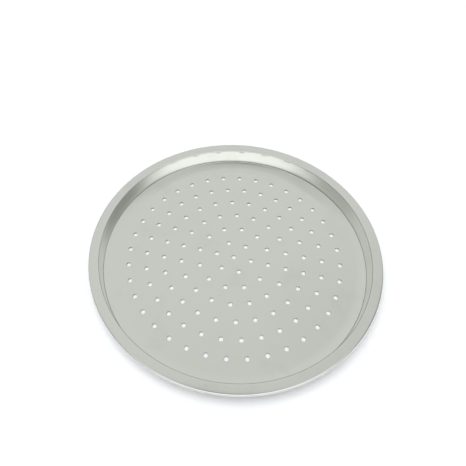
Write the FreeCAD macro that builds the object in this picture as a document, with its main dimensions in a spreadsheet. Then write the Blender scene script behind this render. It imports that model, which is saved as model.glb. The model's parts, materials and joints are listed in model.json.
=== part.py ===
# Perforated pizza pan: one pressed metal sheet whose edge is rolled around a ring of wire.
# Millimetres and degrees. The origin is the centre of the underside, +Z points up out of the well,
# and +X runs along one of the six straight rows of holes.
import FreeCAD, Part
import math
import os
import Sketcher

doc = FreeCAD.newDocument("PizzaPan")

# The sizes that drive all the others
driving_sizes = {
    "sheet_gauge": 0.6,         # thickness of the pressed sheet
    "floor_radius": 135.4,      # flat part of the floor, centre to the start of its rising edge
    "rise_radius": 58.0,        # the floor's edge curves gently up, radius on the baking side
    "rise_angle": 12.0,         # degrees that the floor has turned up where it meets the wall
    "floor_bend": 0.8,          # tight bend from floor to wall, radius on the baking side
    "wall_lean": 5.0,           # degrees that the wall leans outward
    "well_depth": 20.3,         # floor to flange, both on the baking side
    "flange_bend": 0.3,         # tight bend from wall to flange, radius on the underside
    "flange_flat": 8.8,         # flat width of the flange, between the bend and the rolled edge
    "wire_diameter": 2.4,       # wire inside the rolled edge
    "wire_clearance": 0.3,      # room between the wire and the sheet rolled around it
    "wire_end_gap": 1.0,        # the two cut ends of the wire stand this far apart
    "curl_sweep": 285.0,        # degrees of the roll, from the flange down, in and back up
    "hole_diameter": 5.0,       # every punched hole
    "ring_pitch": 20.0,         # distance between one ring of holes and the next
    "holes_per_step": 6,        # each ring has this many holes more than the ring inside it
    "plain_border": 15.0,       # the outer ring of holes keeps at least this far inside the flat floor
}
sizes = doc.addObject("Spreadsheet::Sheet", "Sizes")
for row, (name, value) in enumerate(driving_sizes.items(), start=1):
    sizes.set(f"A{row}", name)
    sizes.set(f"B{row}", str(value))
    sizes.setAlias(f"B{row}", name)
doc.recompute()

# Point codes of a sketch: the ends of a line or an arc, the centre of an arc or a circle,
# and the sketch's own horizontal axis and origin
START, END, CENTRE = 1, 2, 3
HORIZONTAL_AXIS = -1
ORIGIN = (-1, 1)
SKETCH_NORMAL = FreeCAD.Vector(0, 0, 1)

# The rolled edge: the sheet lies on the wire with the clearance between them
ROLL_INNER = "(Sizes.wire_diameter / 2 + Sizes.wire_clearance) * 1 mm"
ROLL_OUTER = "(Sizes.wire_diameter / 2 + Sizes.wire_clearance + Sizes.sheet_gauge) * 1 mm"


def point(x, y):
    return FreeCAD.Vector(x, y, 0)


def arc(centre, radius, first_angle, last_angle):
    circle = Part.Circle(centre, SKETCH_NORMAL, radius)
    return Part.ArcOfCircle(circle, first_angle, last_angle)


def on_arc(centre, radius, angle):
    return centre + point(radius * math.cos(angle), radius * math.sin(angle))


def plane_of(body, role):
    return next(feature for feature in body.Origin.OriginFeatures if feature.Role == role)


def new_sketch(body, name, role):
    sketch = body.newObject("Sketcher::SketchObject", name)
    sketch.AttachmentSupport = [(plane_of(body, role), "")]
    sketch.MapMode = "FlatFace"
    return sketch


def bind(sketch, name, constraint, expression):
    """Add a dimension that follows the driving sizes."""
    index = sketch.addConstraint(constraint)
    sketch.renameConstraint(index, name)
    sketch.setExpression(f"Constraints.{name}", expression)


def measure(sketch, name, constraint):
    """Add a dimension that only reads the section, for another piece to follow."""
    index = sketch.addConstraint(constraint)
    sketch.setDriving(index, False)
    sketch.renameConstraint(index, name)


def draw_pan_section(body):
    """Draw half of the pan's section, radius across and height up, as one closed band of even thickness."""
    gauge = sizes.sheet_gauge
    rise_radius = sizes.rise_radius
    floor_bend = sizes.floor_bend
    flange_bend_under = sizes.flange_bend
    flange_bend_top = flange_bend_under + gauge
    rise = math.radians(sizes.rise_angle)
    lean = math.radians(sizes.wall_lean)
    roll_inner = sizes.wire_diameter / 2 + sizes.wire_clearance
    roll_outer = roll_inner + gauge
    flange_top = gauge + sizes.well_depth

    # Directions in which each bend starts and ends, seen from its own centre
    up = math.radians(90)
    down = -up
    risen = down + rise
    wall_out = -lean
    wall_in = math.radians(180) - lean
    roll_end = up - math.radians(sizes.curl_sweep)

    # Centres of the bends, from the floor outward
    rise_centre = point(sizes.floor_radius, gauge + rise_radius)
    floor_centre = on_arc(rise_centre, rise_radius - floor_bend, risen)
    straight_wall_height = (flange_top - floor_centre.y - flange_bend_top
                            + (floor_bend + flange_bend_top) * math.sin(lean))
    flange_start = (floor_centre.x + (floor_bend + flange_bend_top) * math.cos(lean)
                    + straight_wall_height * math.tan(lean))
    flange_centre = point(flange_start, flange_top - flange_bend_top)
    roll_centre = point(flange_start + sizes.flange_flat, flange_top - roll_outer)

    floor_top_end = point(sizes.floor_radius, gauge)
    floor_under_end = point(sizes.floor_radius, 0)
    flange_under = flange_top - gauge

    sketch = new_sketch(body, "PanSection", "XZ_Plane")
    band = {
        "axis": Part.LineSegment(point(0, 0), point(0, gauge)),
        "floor_top": Part.LineSegment(point(0, gauge), floor_top_end),
        "rise_in": arc(rise_centre, rise_radius, down, risen),
        "floor_bend_in": arc(floor_centre, floor_bend, risen, wall_out),
        "wall_in": Part.LineSegment(on_arc(floor_centre, floor_bend, wall_out),
                                    on_arc(flange_centre, flange_bend_top, wall_in)),
        "flange_bend_top": arc(flange_centre, flange_bend_top, up, wall_in),
        "flange_top": Part.LineSegment(point(flange_start, flange_top), point(roll_centre.x, flange_top)),
        "roll_outside": arc(roll_centre, roll_outer, roll_end, up),
        "cut_edge": Part.LineSegment(on_arc(roll_centre, roll_outer, roll_end),
                                     on_arc(roll_centre, roll_inner, roll_end)),
        "roll_inside": arc(roll_centre, roll_inner, roll_end, up),
        "flange_under": Part.LineSegment(point(roll_centre.x, flange_under),
                                         point(flange_start, flange_under)),
        "flange_bend_under": arc(flange_centre, flange_bend_under, up, wall_in),
        "wall_out": Part.LineSegment(on_arc(flange_centre, flange_bend_under, wall_in),
                                     on_arc(floor_centre, floor_bend + gauge, wall_out)),
        "floor_bend_out": arc(floor_centre, floor_bend + gauge, risen, wall_out),
        "rise_out": arc(rise_centre, rise_radius + gauge, down, risen),
        "floor_under": Part.LineSegment(floor_under_end, point(0, 0)),
    }
    line = {name: sketch.addGeometry(shape, False) for name, shape in band.items()}

    # How the band hangs together: corners meet, bends run smoothly into the flats
    Constraint = Sketcher.Constraint
    sketch.addConstraint([
        Constraint("Coincident", line["axis"], START, *ORIGIN),
        Constraint("Vertical", line["axis"]),
        Constraint("Coincident", line["floor_top"], START, line["axis"], END),
        Constraint("Horizontal", line["floor_top"]),
        Constraint("Tangent", line["floor_top"], END, line["rise_in"], START),
        Constraint("Tangent", line["rise_in"], END, line["floor_bend_in"], START),
        Constraint("Tangent", line["floor_bend_in"], END, line["wall_in"], START),
        Constraint("Tangent", line["wall_in"], END, line["flange_bend_top"], END),
        Constraint("Tangent", line["flange_bend_top"], START, line["flange_top"], START),
        Constraint("Horizontal", line["flange_top"]),
        Constraint("Tangent", line["flange_top"], END, line["roll_outside"], END),
        Constraint("Coincident", line["roll_outside"], START, line["cut_edge"], START),
        Constraint("Coincident", line["cut_edge"], END, line["roll_inside"], START),
        Constraint("Coincident", line["roll_inside"], CENTRE, line["roll_outside"], CENTRE),
        Constraint("PointOnObject", line["roll_outside"], CENTRE, line["cut_edge"]),
        Constraint("Tangent", line["roll_inside"], END, line["flange_under"], START),
        Constraint("Horizontal", line["flange_under"]),
        Constraint("Tangent", line["flange_under"], END, line["flange_bend_under"], START),
        Constraint("Coincident", line["flange_bend_under"], CENTRE, line["flange_bend_top"], CENTRE),
        Constraint("Tangent", line["flange_bend_under"], END, line["wall_out"], START),
        Constraint("Tangent", line["wall_out"], END, line["floor_bend_out"], END),
        Constraint("Coincident", line["floor_bend_out"], CENTRE, line["floor_bend_in"], CENTRE),
        Constraint("Tangent", line["floor_bend_out"], START, line["rise_out"], END),
        Constraint("Coincident", line["rise_out"], CENTRE, line["rise_in"], CENTRE),
        Constraint("Tangent", line["rise_out"], START, line["floor_under"], START),
        Constraint("Horizontal", line["floor_under"]),
        Constraint("Coincident", line["floor_under"], END, *ORIGIN),
    ])

    # Its sizes
    bind(sketch, "sheet_gauge",
         Constraint("DistanceY", line["axis"], START, line["axis"], END, gauge),
         "Sizes.sheet_gauge * 1 mm")
    bind(sketch, "floor_radius",
         Constraint("DistanceX", line["floor_top"], START, line["floor_top"], END, sizes.floor_radius),
         "Sizes.floor_radius * 1 mm")
    bind(sketch, "rise_radius",
         Constraint("Radius", line["rise_in"], rise_radius),
         "Sizes.rise_radius * 1 mm")
    bind(sketch, "rise_angle",
         Constraint("Angle", line["rise_in"], rise),
         "Sizes.rise_angle * 1 deg")
    bind(sketch, "floor_bend",
         Constraint("Radius", line["floor_bend_in"], floor_bend),
         "Sizes.floor_bend * 1 mm")
    bind(sketch, "wall_slope",
         Constraint("Angle", line["wall_in"], up - lean),
         "(90 - Sizes.wall_lean) * 1 deg")
    bind(sketch, "well_depth",
         Constraint("DistanceY", line["floor_top"], START, line["flange_top"], START, sizes.well_depth),
         "Sizes.well_depth * 1 mm")
    bind(sketch, "flange_bend",
         Constraint("Radius", line["flange_bend_under"], flange_bend_under),
         "Sizes.flange_bend * 1 mm")
    bind(sketch, "flange_flat",
         Constraint("DistanceX", line["flange_top"], START, line["flange_top"], END, sizes.flange_flat),
         "Sizes.flange_flat * 1 mm")
    bind(sketch, "roll_outer",
         Constraint("Radius", line["roll_outside"], roll_outer),
         ROLL_OUTER)
    bind(sketch, "roll_inner",
         Constraint("Radius", line["roll_inside"], roll_inner),
         ROLL_INNER)
    bind(sketch, "cut_edge_slope",
         Constraint("Angle", line["cut_edge"], roll_end + math.radians(180)),
         "(270 - Sizes.curl_sweep) * 1 deg")

    # Where the roll is, for the wire
    measure(sketch, "roll_radius",
            Constraint("DistanceX", *ORIGIN, line["roll_outside"], CENTRE, roll_centre.x))
    measure(sketch, "roll_height",
            Constraint("DistanceY", *ORIGIN, line["roll_outside"], CENTRE, roll_centre.y))
    return sketch


def punch_ring(body, ring):
    """Punch one hole through the floor and repeat it around the ring. Ring 0 is the hole in the centre."""
    sketch = new_sketch(body, f"HoleInRing{ring}", "XY_Plane")
    hole_centre = point(ring * sizes.ring_pitch, 0)
    circle = Part.Circle(hole_centre, SKETCH_NORMAL, sizes.hole_diameter / 2)
    hole = sketch.addGeometry(circle, False)
    bind(sketch, "hole_diameter",
         Sketcher.Constraint("Diameter", hole, sizes.hole_diameter),
         "Sizes.hole_diameter * 1 mm")
    if ring == 0:
        sketch.addConstraint(Sketcher.Constraint("Coincident", hole, CENTRE, *ORIGIN))
    else:
        sketch.addConstraint(Sketcher.Constraint("PointOnObject", hole, CENTRE, HORIZONTAL_AXIS))
        bind(sketch, "ring_radius",
             Sketcher.Constraint("DistanceX", *ORIGIN, hole, CENTRE, ring * sizes.ring_pitch),
             f"Sizes.ring_pitch * {ring} * 1 mm")

    punch = body.newObject("PartDesign::Pocket", f"PunchRing{ring}")
    punch.Profile = sketch
    punch.Type = "ThroughAll"
    punch.Reversed = True       # from the underside upward, into the floor
    punch.Refine = False
    body.Tip = punch
    if ring == 0:
        return

    around = body.newObject("PartDesign::PolarPattern", f"HolesRing{ring}")
    around.Originals = [punch]
    around.Axis = (sketch, ["N_Axis"])
    around.Angle = 360
    around.setExpression("Occurrences", f"Sizes.holes_per_step * {ring}")
    around.Refine = False
    body.Tip = around


def make_pan_sheet():
    body = doc.addObject("PartDesign::Body", "PanSheet")
    body.Label = "pan_sheet"
    section = draw_pan_section(body)
    pressing = body.newObject("PartDesign::Revolution", "Pressing")
    pressing.Profile = section
    pressing.ReferenceAxis = (section, ["V_Axis"])
    pressing.Angle = 360
    body.Tip = pressing
    doc.recompute()

    # Rings of holes fill the floor up to its plain border
    ring_count = int((sizes.floor_radius - sizes.plain_border) // sizes.ring_pitch)
    for ring in range(ring_count + 1):
        punch_ring(body, ring)
    doc.recompute()

    # Every hole takes one round slug out of the floor
    hole_count = 1 + int(sizes.holes_per_step) * ring_count * (ring_count + 1) // 2
    slug = math.pi * (sizes.hole_diameter / 2) ** 2 * sizes.sheet_gauge
    removed_share = (pressing.Shape.Volume - body.Shape.Volume) / (hole_count * slug)
    print(f"holes {hole_count}, metal removed / metal expected {removed_share:.4f}")
    return body


def make_rim_wire():
    wire = doc.addObject("Part::Torus", "RimWire")
    wire.Label = "rim_wire"
    wire.setExpression("Radius1", "PanSection.Constraints.roll_radius")
    wire.setExpression("Radius2", "Sizes.wire_diameter / 2 * 1 mm")
    gap_angle = "Sizes.wire_end_gap * 1 mm / PanSection.Constraints.roll_radius * 180 deg / pi"
    wire.setExpression("Angle3", f"360 deg - {gap_angle}")
    wire.setExpression("Placement.Base.z", "PanSection.Constraints.roll_height")
    doc.recompute()
    return wire


pieces = [make_pan_sheet(), make_rim_wire()]

# Nothing is written unless every object of the document is sound
doc.recompute()
for item in doc.Objects:
    if "Invalid" in item.State or "Error" in item.State:
        raise RuntimeError(f"{item.Name} did not recompute: {item.State}")
for piece in pieces:
    if piece.Shape.isNull() or not piece.Shape.isValid():
        raise RuntimeError(f"{piece.Label} has no sound shape")

os.makedirs("parts", exist_ok=True)
for piece in pieces:
    piece.Shape.exportStep(f"parts/{piece.Label}.step")
    box = piece.Shape.optimalBoundingBox(False)
    print(f"{piece.Label}: {len(piece.Shape.Solids)} solid, {piece.Shape.Volume:.1f} mm3, "
          f"{box.XLength:.2f} x {box.YLength:.2f} x {box.ZLength:.2f} mm, from z {box.ZMin:.3f}")
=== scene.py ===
# Perforated pizza pan: pressed satin sheet with its edge rolled round a wire, on a white table.
import bpy
import bmesh
import json
import math
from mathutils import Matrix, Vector

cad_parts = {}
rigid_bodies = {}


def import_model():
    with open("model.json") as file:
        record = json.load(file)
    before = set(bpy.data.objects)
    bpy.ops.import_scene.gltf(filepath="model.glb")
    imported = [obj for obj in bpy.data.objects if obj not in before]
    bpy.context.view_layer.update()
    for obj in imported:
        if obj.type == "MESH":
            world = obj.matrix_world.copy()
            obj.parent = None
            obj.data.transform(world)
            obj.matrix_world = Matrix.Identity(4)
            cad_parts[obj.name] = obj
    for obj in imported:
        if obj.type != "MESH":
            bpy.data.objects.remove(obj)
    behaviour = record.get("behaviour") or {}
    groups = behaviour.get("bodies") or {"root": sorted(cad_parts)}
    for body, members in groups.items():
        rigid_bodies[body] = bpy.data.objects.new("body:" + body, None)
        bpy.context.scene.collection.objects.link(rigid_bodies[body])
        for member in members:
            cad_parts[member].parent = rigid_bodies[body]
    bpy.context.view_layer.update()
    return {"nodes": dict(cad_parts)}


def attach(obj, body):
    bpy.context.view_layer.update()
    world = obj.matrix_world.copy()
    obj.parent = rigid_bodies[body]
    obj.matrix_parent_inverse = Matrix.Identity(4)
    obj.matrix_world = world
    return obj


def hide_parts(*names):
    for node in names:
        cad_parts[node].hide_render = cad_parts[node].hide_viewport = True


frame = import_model()
print("frame loaded:", sorted(frame["nodes"]))


# Small helpers

def deselectAll():
    bpy.ops.object.select_all(action="DESELECT")


def editOn(piece):
    deselectAll()
    piece.select_set(True)
    bpy.context.view_layer.objects.active = piece
    bpy.ops.object.mode_set(mode="EDIT")
    bpy.ops.mesh.select_mode(type="VERT")


def editOff():
    bpy.ops.object.mode_set(mode="OBJECT")


def pickVerts(piece, wanted):
    bpy.ops.mesh.select_all(action="DESELECT")
    cage = bmesh.from_edit_mesh(piece.data)
    for vert in cage.verts:
        vert.select = wanted(vert.co)
    cage.select_flush_mode()
    bmesh.update_edit_mesh(piece.data)


def addModifier(piece, kind, values):
    step = piece.modifiers.new(kind.lower(), kind)
    for name, value in values.items():
        setattr(step, name, value)
    return step


def applyAll(piece):
    deselectAll()
    piece.select_set(True)
    bpy.context.view_layer.objects.active = piece
    for name in [step.name for step in piece.modifiers]:
        bpy.ops.object.modifier_apply(modifier=name)


def triangles(piece):
    return sum(len(face.vertices) - 2 for face in piece.data.polygons)


# The pan sheet: baking side first, its thickness comes last

panSetup = {
    "gauge": 0.0006,
    "floorRadius": 0.1354,      # the flat part
    "riseRadius": 0.058,        # the floor's edge curves gently up
    "riseAngle": 12.0,          # degrees
    "floorBend": 0.0008,
    "wallLean": 5.0,            # degrees outward
    "wellDepth": 0.0203,
    "flangeBend": 0.0015,       # on the baking side
    "flangeFlat": 0.00825,
    "rollRadius": 0.0021,       # outside of the rolled edge
    "rollSweep": 285.0,         # degrees
    "holeRadius": 0.0025,
    "holeCollar": 0.0008,       # clean ring of faces round each hole
    "ringPitch": 0.020,
    "ringCount": 6,
    "holesPerStep": 6,
    "edgesRound": 240,
    "holeEdges": 24,
    "edgeSoftness": 0.00022,    # lip round each hole and along the sheet's cut edge
    "edgeSegments": 2,
    "sharpAngle": 40.0,         # degrees: sharper edges get the lip, the rest shades smooth
    "bendSteps": 8,
    "straightSteps": 4,
    "rollSteps": 28,
    "outlineSlack": 0.00001,    # this near the floor's outline counts as on it
    "sameSpot": 0.000001,       # points nearer than this are joined
}


def punchRing(ring):
    s = panSetup
    centre = (ring * s["ringPitch"], 0, s["gauge"])
    bpy.ops.mesh.select_all(action="DESELECT")
    bpy.ops.mesh.primitive_circle_add(vertices=s["holeEdges"], radius=s["holeRadius"], location=centre)
    bpy.ops.object.vertex_group_assign()                    # the punched edge
    wider = (s["holeRadius"] + s["holeCollar"]) / s["holeRadius"]
    bpy.ops.mesh.extrude_edges_move()
    bpy.ops.transform.resize(value=(wider, wider, 1), center_override=centre)
    bpy.ops.object.vertex_group_remove_from()               # the collar isn't an edge
    count = ring * s["holesPerStep"]
    if count:
        bpy.ops.mesh.select_linked()
        turn = 2 * math.pi * (count - 1) / count
        bpy.ops.mesh.spin(steps=count - 1, dupli=True, angle=turn, center=(0, 0, 0), axis=(0, 0, 1))


def sectionStops():
    s = panSetup
    lean = math.radians(s["wallLean"])
    rise = math.radians(s["riseAngle"])
    bends = s["floorBend"] + s["flangeBend"]
    top = s["gauge"] + s["wellDepth"]
    footRadius = s["floorRadius"] + (s["riseRadius"] - s["floorBend"]) * math.sin(rise)
    footHeight = s["gauge"] + s["riseRadius"] - (s["riseRadius"] - s["floorBend"]) * math.cos(rise)
    straight = top - footHeight - s["flangeBend"] + bends * math.sin(lean)
    flangeStart = footRadius + bends * math.cos(lean) + straight * math.tan(lean)
    stops = []

    # angles of a bend: 0 points outward, 90 up
    def bend(centreRadius, centreHeight, radius, first, last, steps):
        for step in range(1, steps + 1):
            angle = math.radians(first + (last - first) * step / steps)
            stops.append((centreRadius + radius * math.cos(angle),
                          centreHeight + radius * math.sin(angle)))

    def run(radius, height, steps):
        fromRadius, fromHeight = stops[-1]
        for step in range(1, steps + 1):
            share = step / steps
            stops.append((fromRadius + (radius - fromRadius) * share,
                          fromHeight + (height - fromHeight) * share))

    risen = s["riseAngle"] - 90
    bend(s["floorRadius"], s["gauge"] + s["riseRadius"], s["riseRadius"], -90, risen, s["bendSteps"])
    bend(footRadius, footHeight, s["floorBend"], risen, -s["wallLean"], s["bendSteps"])
    wallTop = 180 - s["wallLean"]
    run(flangeStart + s["flangeBend"] * math.cos(math.radians(wallTop)),
        top - s["flangeBend"] + s["flangeBend"] * math.sin(math.radians(wallTop)), s["straightSteps"])
    bend(flangeStart, top - s["flangeBend"], s["flangeBend"], wallTop, 90, s["bendSteps"])
    run(flangeStart + s["flangeFlat"], top, s["straightSteps"])
    bend(flangeStart + s["flangeFlat"], top - s["rollRadius"], s["rollRadius"],
         90, 90 - s["rollSweep"], s["rollSteps"])
    return stops


def makePanSheet():
    s = panSetup
    deselectAll()
    bpy.ops.mesh.primitive_circle_add(vertices=s["edgesRound"], radius=s["floorRadius"],
                                      location=(0, 0, s["gauge"]))
    pan = bpy.context.object
    pan.name = "panSheet"
    bpy.ops.object.transform_apply(location=True, rotation=True, scale=True)
    pan.vertex_groups.new(name="holeEdge")

    # perforated floor
    editOn(pan)
    for ring in range(s["ringCount"] + 1):
        punchRing(ring)
    bpy.ops.mesh.select_all(action="SELECT")
    bpy.ops.object.vertex_group_deselect()
    bpy.ops.mesh.fill(use_beauty=True)

    # wall, flange and rolled edge, pulled out of the floor's outline ring by ring
    pickVerts(pan, lambda co: co.xy.length > s["floorRadius"] - s["outlineSlack"])
    radius, height = s["floorRadius"], s["gauge"]
    for nextRadius, nextHeight in sectionStops():
        wider = nextRadius / radius
        bpy.ops.mesh.extrude_edges_move()
        bpy.ops.transform.resize(value=(wider, wider, 1), center_override=(0, 0, 0))
        bpy.ops.transform.translate(value=(0, 0, nextHeight - height))
        radius, height = nextRadius, nextHeight

    bpy.ops.mesh.select_all(action="SELECT")
    bpy.ops.mesh.remove_doubles(threshold=s["sameSpot"])
    bpy.ops.mesh.normals_make_consistent(inside=False)
    cage = bmesh.from_edit_mesh(pan.data)
    floorFaces = [face for face in cage.faces if face.calc_center_median().xy.length < s["floorRadius"]]
    if sum(face.normal.z for face in floorFaces) < 0:
        bpy.ops.mesh.flip_normals()
    editOff()

    addModifier(pan, "SOLIDIFY", {"thickness": s["gauge"], "offset": -1, "use_even_offset": True})
    sharp = math.radians(s["sharpAngle"])
    addModifier(pan, "BEVEL", {"width": s["edgeSoftness"], "segments": s["edgeSegments"],
                               "limit_method": "ANGLE", "angle_limit": sharp})
    applyAll(pan)
    bpy.ops.object.shade_smooth_by_angle(angle=sharp)
    return pan


panSheet = makePanSheet()
print("pan sheet:", triangles(panSheet), "triangles")


# The wire in the rolled edge: a drawn wire bent to a ring, its two cut ends a little apart

wireSetup = {
    "radius": 0.0012,
    "ringRadius": 0.159317,     # middle of the rolled edge
    "height": 0.0188,
    "endGap": 0.001,
    "edgesRound": 20,
    "steps": 200,
    "endSoftness": 0.0002,
    "endSegments": 2,
    "endAngle": 60.0,           # degrees: only the rims of the cut ends are sharper
    "smoothAngle": 40.0,        # degrees
}


def makeRimWire():
    s = wireSetup
    deselectAll()
    bpy.ops.mesh.primitive_circle_add(vertices=s["edgesRound"], radius=s["radius"],
                                      location=(s["ringRadius"], 0, s["height"]),
                                      rotation=(math.radians(90), 0, 0))
    wire = bpy.context.object
    wire.name = "rimWire"
    bpy.ops.object.transform_apply(location=True, rotation=True, scale=True)
    editOn(wire)
    bpy.ops.mesh.select_all(action="SELECT")
    turn = 2 * math.pi - s["endGap"] / s["ringRadius"]
    bpy.ops.mesh.spin(steps=s["steps"], angle=turn, center=(0, 0, 0), axis=(0, 0, 1))
    bpy.ops.mesh.select_all(action="DESELECT")
    bpy.ops.mesh.select_non_manifold()
    bpy.ops.mesh.edge_face_add()
    bpy.ops.mesh.select_all(action="SELECT")
    bpy.ops.mesh.normals_make_consistent(inside=False)
    editOff()
    addModifier(wire, "BEVEL", {"width": s["endSoftness"], "segments": s["endSegments"],
                                "limit_method": "ANGLE", "angle_limit": math.radians(s["endAngle"])})
    applyAll(wire)
    bpy.ops.object.shade_smooth_by_angle(angle=math.radians(s["smoothAngle"]))
    return wire


rimWire = makeRimWire()
print("rim wire:", triangles(rimWire), "triangles")


# Bright and dark marks on the metal, some of them painted light and shade: one value from 0 to 1 for
# every vertex

wearAndPaintedLightSetup = {
    "crest": 32.0,              # degrees from the top of the rolled edge: a painted highlight, where stacked pans also rub it
    "crestReach": 30.0,
    "rollPaintedShade": (68.0, 95.0),  # degrees from the top of the rolled edge: painted shade below, none above
    "rollNear": 1.2,            # roll radii from its middle: the roll lies within this
    "wireEndReach": 0.004,
}


def fade(distance, reach):
    return max(0.0, 1.0 - abs(distance) / reach)


def storeValues(piece, name, valueAt):
    layer = piece.data.attributes.new(name, "FLOAT", "POINT")
    layer.data.foreach_set("value", [valueAt(vert.co) for vert in piece.data.vertices])


def fromHoleEdge(co):
    s = panSetup
    ring = min(round(co.xy.length / s["ringPitch"]), s["ringCount"])
    count = max(ring * s["holesPerStep"], 1)
    turn = 2 * math.pi * round(math.atan2(co.y, co.x) * count / (2 * math.pi)) / count
    centre = Vector((math.cos(turn), math.sin(turn))) * ring * s["ringPitch"]
    return (co.xy - centre).length - s["holeRadius"]


def rollTurn(co):
    outward = co.xy.length - wireSetup["ringRadius"]
    upward = co.z - wireSetup["height"]
    near = math.hypot(outward, upward) < wearAndPaintedLightSetup["rollNear"] * panSetup["rollRadius"]
    onRoll = near and (outward > 0 or upward < 0)
    return abs(math.degrees(math.atan2(outward, upward))) if onRoll else 0.0


# painted highlight along the roll's crest, also the rub of stacked pans
def panRubAndPaintedHighlight(co):
    return fade(rollTurn(co) - wearAndPaintedLightSetup["crest"], wearAndPaintedLightSetup["crestReach"])


# painted shade: darker on the underside of the rolled edge and round the holes' walls
def panPaintedShade(co):
    first, last = wearAndPaintedLightSetup["rollPaintedShade"]
    paintedRollShade = (rollTurn(co) - first) / (last - first)
    paintedHoleShade = fade(fromHoleEdge(co), panSetup["edgeSoftness"])
    return min(max(paintedRollShade, paintedHoleShade, 0.0), 1.0)


def wireRubbed(co):
    return fade(co.y, wearAndPaintedLightSetup["wireEndReach"]) if co.x > 0 else 0.0


def wireSheltered(co):
    return 1.0 - wireRubbed(co)


storeValues(panSheet, "rubbedAndHighlight", panRubAndPaintedHighlight)
storeValues(panSheet, "dullAndPaintedShade", panPaintedShade)
storeValues(rimWire, "rubbedAndHighlight", wireRubbed)
storeValues(rimWire, "dullAndPaintedShade", wireSheltered)
print("wear stored")


# Materials: three effects shared by both metals, then the metals

effectSetup = {
    "smudgeStart": 0.75,        # cloud value where smudges start at no coverage
    "smudgeSoftness": 0.3,
    "smudgeDulls": 0.12,        # share of the dull colour in a full smudge
    "smudgeRoughness": 0.05,    # what each effect adds to the roughness
    "streakRoughness": 0.06,
    "rubbedRoughness": -0.03,
}


def addNode(tree, kind, inputs=None, **settings):
    node = tree.nodes.new(kind)
    for name, value in settings.items():
        setattr(node, name, value)
    for name, value in (inputs or {}).items():
        if isinstance(value, bpy.types.NodeSocket):
            tree.links.new(value, node.inputs[name])
        else:
            node.inputs[name].default_value = value
    return node


def newGroup(name, inputs, outputs):
    tree = bpy.data.node_groups.new(name, "ShaderNodeTree")
    for label, kind in inputs.items():
        tree.interface.new_socket(label, in_out="INPUT", socket_type="NodeSocket" + kind)
    for label, kind in outputs.items():
        tree.interface.new_socket(label, in_out="OUTPUT", socket_type="NodeSocket" + kind)
    return tree, addNode(tree, "NodeGroupInput").outputs, addNode(tree, "NodeGroupOutput")


def calculate(tree, operation, first, second):
    node = addNode(tree, "ShaderNodeMath", {0: first, 1: second}, operation=operation)
    return node.outputs[0]


# rings that the tool leaves round the axis
turnedLines, given, result = newGroup(
    "turnedLines", {"Place": "Vector", "Lines per Metre": "Float", "Patch per Metre": "Float"},
    {"Height": "Float", "Streak": "Float"})
level = addNode(turnedLines, "ShaderNodeVectorMath", {0: given["Place"], 1: (1, 1, 0)},
                operation="MULTIPLY")
outward = addNode(turnedLines, "ShaderNodeVectorMath", {0: level.outputs[0]}, operation="LENGTH")
upward = addNode(turnedLines, "ShaderNodeSeparateXYZ", {0: given["Place"]})
across = calculate(turnedLines, "ADD", outward.outputs["Value"], upward.outputs["Z"])
lines = addNode(turnedLines, "ShaderNodeTexNoise",
                {"W": across, "Scale": given["Lines per Metre"], "Detail": 2.0}, noise_dimensions="1D")
patch = addNode(turnedLines, "ShaderNodeTexNoise",
                {"Vector": given["Place"], "Scale": given["Patch per Metre"], "Detail": 1.0})
streak = calculate(turnedLines, "MULTIPLY", lines.outputs["Fac"], patch.outputs["Fac"])
turnedLines.links.new(lines.outputs["Fac"], result.inputs["Height"])
turnedLines.links.new(streak, result.inputs["Streak"])

# faint smudges left by hands and cloths
handlingMarks, given, result = newGroup(
    "handlingMarks", {"Place": "Vector", "Marks per Metre": "Float", "Coverage": "Float"},
    {"Smudge": "Float"})
cloud = addNode(handlingMarks, "ShaderNodeTexNoise",
                {"Vector": given["Place"], "Scale": given["Marks per Metre"], "Detail": 5.0,
                 "Roughness": 0.6, "Distortion": 0.4})
least = calculate(handlingMarks, "SUBTRACT", effectSetup["smudgeStart"], given["Coverage"])
most = calculate(handlingMarks, "ADD", least, effectSetup["smudgeSoftness"])
smudge = addNode(handlingMarks, "ShaderNodeMapRange",
                 {"Value": cloud.outputs["Fac"], "From Min": least, "From Max": most},
                 interpolation_type="SMOOTHSTEP")
handlingMarks.links.new(smudge.outputs[0], result.inputs["Smudge"])

# colour and roughness of a metal after use, with the pan's painted highlight and painted shade
wearAndPaintedLight, given, result = newGroup(
    "wearAndPaintedLight",
    {"Metal": "Color", "Rubbed And Highlight Metal": "Color", "Dull And Shaded Metal": "Color", "Roughness": "Float",
     "Rubbed And Highlight": "Float", "Dull And Painted Shade": "Float", "Smudge": "Float", "Streak": "Float"},
    {"Colour": "Color", "Roughness": "Float"})
brighter = addNode(wearAndPaintedLight, "ShaderNodeMixRGB",
                   {"Fac": given["Rubbed And Highlight"], "Color1": given["Metal"], "Color2": given["Rubbed And Highlight Metal"]})
smudgeShare = calculate(wearAndPaintedLight, "MULTIPLY", given["Smudge"], effectSetup["smudgeDulls"])
dullAndShadeShare = calculate(wearAndPaintedLight, "MAXIMUM", given["Dull And Painted Shade"], smudgeShare)
dullerAndShaded = addNode(wearAndPaintedLight, "ShaderNodeMixRGB",
                 {"Fac": dullAndShadeShare, "Color1": brighter.outputs[0], "Color2": given["Dull And Shaded Metal"]})
rougher = calculate(wearAndPaintedLight, "MULTIPLY", given["Smudge"], effectSetup["smudgeRoughness"])
streaky = calculate(wearAndPaintedLight, "MULTIPLY", given["Streak"], effectSetup["streakRoughness"])
smoother = calculate(wearAndPaintedLight, "MULTIPLY", given["Rubbed And Highlight"], effectSetup["rubbedRoughness"])
changes = calculate(wearAndPaintedLight, "ADD", calculate(wearAndPaintedLight, "ADD", rougher, streaky), smoother)
roughness = calculate(wearAndPaintedLight, "ADD", given["Roughness"], changes)
wearAndPaintedLight.links.new(dullerAndShaded.outputs[0], result.inputs["Colour"])
wearAndPaintedLight.links.new(roughness, result.inputs["Roughness"])

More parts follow.
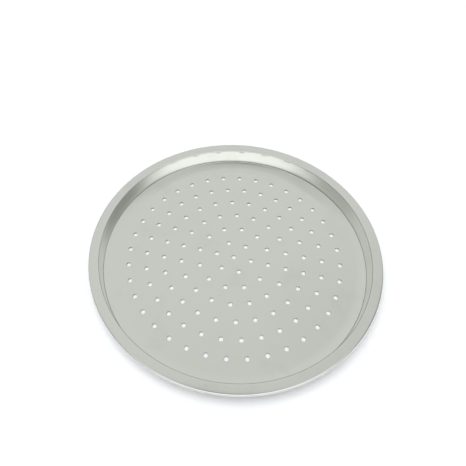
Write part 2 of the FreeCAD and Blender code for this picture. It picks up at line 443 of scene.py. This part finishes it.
panMetalSetup = {
    "metal": (0.873, 0.882, 0.851, 1),
    # brighter tone for the roll's crest: a painted highlight there, and the rub of stacked pans
    "rubbedAndHighlight": (0.92, 0.92, 0.9, 1),
    # darker tone: painted shade under the rolled edge and round the holes, also the smudges' dull tone
    "dullAndShaded": (0.5, 0.5, 0.48, 1),
    "roughness": 0.15,
    "turnedLines": 900.0,       # per metre
    "turnedPatches": 30.0,
    "marks": 22.0,
    "markCoverage": 0.25,
    "grain": (60.0, 2600.0, 2600.0),    # rolling lines of the sheet run along X
    "waves": 35.0,
    "grainDepth": 0.0000004,
    "waveDepth": 0.000008,
    "lineDepth": 0.0000004,
}

wireMetalSetup = {
    "metal": (0.6, 0.6, 0.585, 1),
    "rubbedAndHighlight": (0.74, 0.74, 0.72, 1),
    "dullAndShaded": (0.5, 0.49, 0.47, 1),
    "roughness": 0.24,
    "turnedLines": 2400.0,
    "turnedPatches": 60.0,
    "marks": 60.0,
    "markCoverage": 0.3,
    "lineDepth": 0.000001,
}


def newMaterial(name):
    material = bpy.data.materials.new(name)
    material.use_nodes = True
    material.node_tree.nodes.clear()
    return material, material.node_tree


def usedMetal(name, s):
    material, tree = newMaterial(name)
    place = addNode(tree, "ShaderNodeTexCoord").outputs["Object"]
    turned = addNode(tree, "ShaderNodeGroup", node_tree=turnedLines)
    tree.links.new(place, turned.inputs["Place"])
    turned.inputs["Lines per Metre"].default_value = s["turnedLines"]
    turned.inputs["Patch per Metre"].default_value = s["turnedPatches"]
    marks = addNode(tree, "ShaderNodeGroup", node_tree=handlingMarks)
    tree.links.new(place, marks.inputs["Place"])
    marks.inputs["Marks per Metre"].default_value = s["marks"]
    marks.inputs["Coverage"].default_value = s["markCoverage"]
    finish = addNode(tree, "ShaderNodeGroup", node_tree=wearAndPaintedLight)
    finish.inputs["Metal"].default_value = s["metal"]
    finish.inputs["Rubbed And Highlight Metal"].default_value = s["rubbedAndHighlight"]
    finish.inputs["Dull And Shaded Metal"].default_value = s["dullAndShaded"]
    finish.inputs["Roughness"].default_value = s["roughness"]
    for socket, attribute in (("Rubbed And Highlight", "rubbedAndHighlight"), ("Dull And Painted Shade", "dullAndPaintedShade")):
        stored = addNode(tree, "ShaderNodeAttribute", attribute_name=attribute)
        tree.links.new(stored.outputs["Fac"], finish.inputs[socket])
    tree.links.new(marks.outputs["Smudge"], finish.inputs["Smudge"])
    tree.links.new(turned.outputs["Streak"], finish.inputs["Streak"])
    shader = addNode(tree, "ShaderNodeBsdfPrincipled",
                     {"Base Color": finish.outputs["Colour"], "Roughness": finish.outputs["Roughness"],
                      "Metallic": 1.0})
    addNode(tree, "ShaderNodeOutputMaterial", {"Surface": shader.outputs["BSDF"]})
    rings = addNode(tree, "ShaderNodeBump",
                    {"Height": turned.outputs["Height"], "Distance": s["lineDepth"]})
    return material, tree, place, shader, rings


wireMetal, tree, place, shader, rings = usedMetal("drawnWireMetal", wireMetalSetup)
tree.links.new(rings.outputs["Normal"], shader.inputs["Normal"])
rimWire.data.materials.append(wireMetal)

# the sheet also has its rolling grain and is never quite flat
panMetal, tree, place, shader, rings = usedMetal("satinPanMetal", panMetalSetup)
stretched = addNode(tree, "ShaderNodeVectorMath", {0: place, 1: panMetalSetup["grain"]},
                    operation="MULTIPLY")
grain = addNode(tree, "ShaderNodeTexNoise",
                {"Vector": stretched.outputs[0], "Scale": 1.0, "Detail": 2.0})
waves = addNode(tree, "ShaderNodeTexNoise",
                {"Vector": place, "Scale": panMetalSetup["waves"], "Detail": 1.0})
grainBump = addNode(tree, "ShaderNodeBump",
                    {"Height": grain.outputs["Fac"], "Normal": rings.outputs["Normal"],
                     "Distance": panMetalSetup["grainDepth"]})
waveBump = addNode(tree, "ShaderNodeBump",
                   {"Height": waves.outputs["Fac"], "Normal": grainBump.outputs["Normal"],
                    "Distance": panMetalSetup["waveDepth"]})
tree.links.new(waveBump.outputs["Normal"], shader.inputs["Normal"])
panSheet.data.materials.append(panMetal)
print("materials ready")

for piece, node, slot in ((panSheet, "pan_sheet", "pan_metal"), (rimWire, "rim_wire", "wire_metal")):
    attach(piece, "root")
    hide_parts(node)


# Table, light and camera

stageSetup = {
    "tableSize": 8.0,
    "tableHeight": -0.0014,
    "tableColour": (0.95, 0.95, 0.95, 1),
    "sunStrength": 2.2,
    "sunAngle": 46.0,           # degrees across: a soft light from above
    "sunTilt": (8.0, -4.0),     # degrees about X and Y
    "dullLight": (0.38, 0.39, 0.42, 1),     # the room's light on the table
}

# The room as the metal mirrors it. Azimuths are degrees from +X.
# Heights on the sky run from 0 at the horizon to 1 overhead.
roomTint = (0.99, 1.0, 0.968)
roomLevels = (                  # height and brightness
    (0.0, 0.1),
    (0.22, 0.14),
    (0.4, 0.62),
    (0.5, 0.67),
    (0.7, 0.66),
    (0.85, 0.66),
    (0.96, 0.64),
    (1.0, 0.42),
)

# a wide window behind the camera
windowSetup = {
    "azimuth": -68.0,
    "elevation": 50.0,
    "core": 28.0,               # full out to this many degrees from its middle
    "reach": 58.0,              # gone at this many
    "colour": (1.22, 1.22, 1.22, 1),
    "lowEdge": (0.17, 0.4),     # height on the sky at which it starts and is full
    "highEdge": (0.9, 0.68),    # height at which it is gone and still full
}

# darker patches at the picture's right and left, a faint one at its right back, a small one overhead
uncut = (1.2, 1.1)              # an upper edge above the whole sky
panelSetup = (
    {"azimuth": 20.0, "elevation": 45.0, "core": 11.0, "reach": 28.0,
     "highEdge": (0.88, 0.74), "shade": 0.52},
    {"azimuth": -157.0, "elevation": 43.0, "core": 8.0, "reach": 24.0,
     "highEdge": (0.85, 0.72), "shade": 0.28},
    {"azimuth": 58.0, "elevation": 60.0, "core": 6.0, "reach": 17.0, "highEdge": uncut, "shade": 0.07},
    {"azimuth": -80.0, "elevation": 86.0, "core": 5.0, "reach": 11.0, "highEdge": uncut, "shade": 0.5},
)


def makeTable():
    s = stageSetup
    deselectAll()
    bpy.ops.mesh.primitive_plane_add(size=s["tableSize"], location=(0, 0, s["tableHeight"]))
    table = bpy.context.object
    table.name = "table"
    bpy.ops.object.transform_apply(location=True, rotation=True, scale=True)
    material, tree = newMaterial("whiteTable")
    shader = addNode(tree, "ShaderNodeBsdfDiffuse", {"Color": s["tableColour"]})
    addNode(tree, "ShaderNodeOutputMaterial", {"Surface": shader.outputs["BSDF"]})
    table.data.materials.append(material)


def ease(tree, value, first, last):
    node = addNode(tree, "ShaderNodeMapRange", {"Value": value, "From Min": first, "From Max": last},
                   interpolation_type="SMOOTHSTEP")
    return node.outputs[0]


def makeSky():
    s, w = stageSetup, windowSetup
    world = bpy.data.worlds.new("studio")
    world.use_nodes = True
    bpy.context.scene.world = world
    tree = world.node_tree
    tree.nodes.clear()

    toward = addNode(tree, "ShaderNodeTexCoord").outputs["Generated"]
    height = addNode(tree, "ShaderNodeSeparateXYZ", {0: toward}).outputs["Z"]
    room = addNode(tree, "ShaderNodeValToRGB", {"Fac": height})
    ramp = room.color_ramp
    while len(ramp.elements) < len(roomLevels):
        ramp.elements.new(0.5)
    for stop, (place, level) in zip(ramp.elements, roomLevels):
        stop.position = place
        stop.color = [level * share for share in roomTint] + [1]
    mirrored = room.outputs["Color"]

    def patchOfSky(spot):
        azimuth = math.radians(spot["azimuth"])
        elevation = math.radians(spot["elevation"])
        middle = (math.cos(azimuth) * math.cos(elevation), math.sin(azimuth) * math.cos(elevation),
                  math.sin(elevation))
        nearness = addNode(tree, "ShaderNodeVectorMath", {0: toward, 1: middle},
                           operation="DOT_PRODUCT")
        inside = ease(tree, nearness.outputs["Value"], math.cos(math.radians(spot["reach"])),
                      math.cos(math.radians(spot["core"])))
        return calculate(tree, "MULTIPLY", inside, ease(tree, height, *spot["highEdge"]))

    for panel in panelSetup:
        kept = addNode(tree, "ShaderNodeMapRange",
                       {"Value": patchOfSky(panel), "To Min": 1.0, "To Max": 1.0 - panel["shade"]})
        mirrored = addNode(tree, "ShaderNodeVectorMath", {0: mirrored, "Scale": kept.outputs[0]},
                           operation="SCALE").outputs[0]
    windowMask = calculate(tree, "MULTIPLY", patchOfSky(w), ease(tree, height, *w["lowEdge"]))
    mirrored = addNode(tree, "ShaderNodeMixRGB",
                       {"Fac": windowMask, "Color1": mirrored, "Color2": w["colour"]}).outputs[0]

    # the table gets the room's plain light, the picture's background is white
    path = addNode(tree, "ShaderNodeLightPath").outputs
    seen = calculate(tree, "MAXIMUM", path["Is Camera Ray"], path["Is Transmission Ray"])
    light = addNode(tree, "ShaderNodeMixRGB",
                    {"Fac": path["Is Glossy Ray"], "Color1": s["dullLight"], "Color2": mirrored})
    shown = addNode(tree, "ShaderNodeMixRGB",
                    {"Fac": seen, "Color1": light.outputs[0], "Color2": (1, 1, 1, 1)})
    sky = addNode(tree, "ShaderNodeBackground", {"Color": shown.outputs[0]})
    addNode(tree, "ShaderNodeOutputWorld", {"Surface": sky.outputs[0]})


def makeSun():
    s = stageSetup
    light = bpy.data.lights.new("overhead", "SUN")
    light.energy = s["sunStrength"]
    light.angle = math.radians(s["sunAngle"])
    lamp = bpy.data.objects.new("overhead", light)
    bpy.context.scene.collection.objects.link(lamp)
    lamp.rotation_euler = [math.radians(angle) for angle in s["sunTilt"]] + [0]
    lamp.visible_glossy = False


cameraSetup = {
    "place": (0.04747, -0.27626, 0.44716),
    "aim": (-0.04073, 0.02379, 0.0006),
    "roll": -0.897,             # degrees
    "lens": 35.443,
    "sideShift": 0.0597,
    "sensorWidth": 36.0,
    "nearest": 0.01,
}


def makeCamera():
    s = cameraSetup
    lens = bpy.data.cameras.new("camera")
    lens.sensor_width = s["sensorWidth"]
    lens.lens = s["lens"]
    lens.shift_x = s["sideShift"]
    lens.clip_start = s["nearest"]
    camera = bpy.data.objects.new("camera", lens)
    bpy.context.scene.collection.objects.link(camera)
    place = Vector(s["place"])
    camera.location = place
    camera.rotation_euler = (Vector(s["aim"]) - place).to_track_quat("-Z", "Y").to_euler()
    camera.rotation_euler.rotate_axis("Z", math.radians(s["roll"]))
    bpy.context.scene.camera = camera


makeTable()
makeSky()
makeSun()
makeCamera()
bpy.context.scene.view_settings.view_transform = "Standard"
print("stage ready")
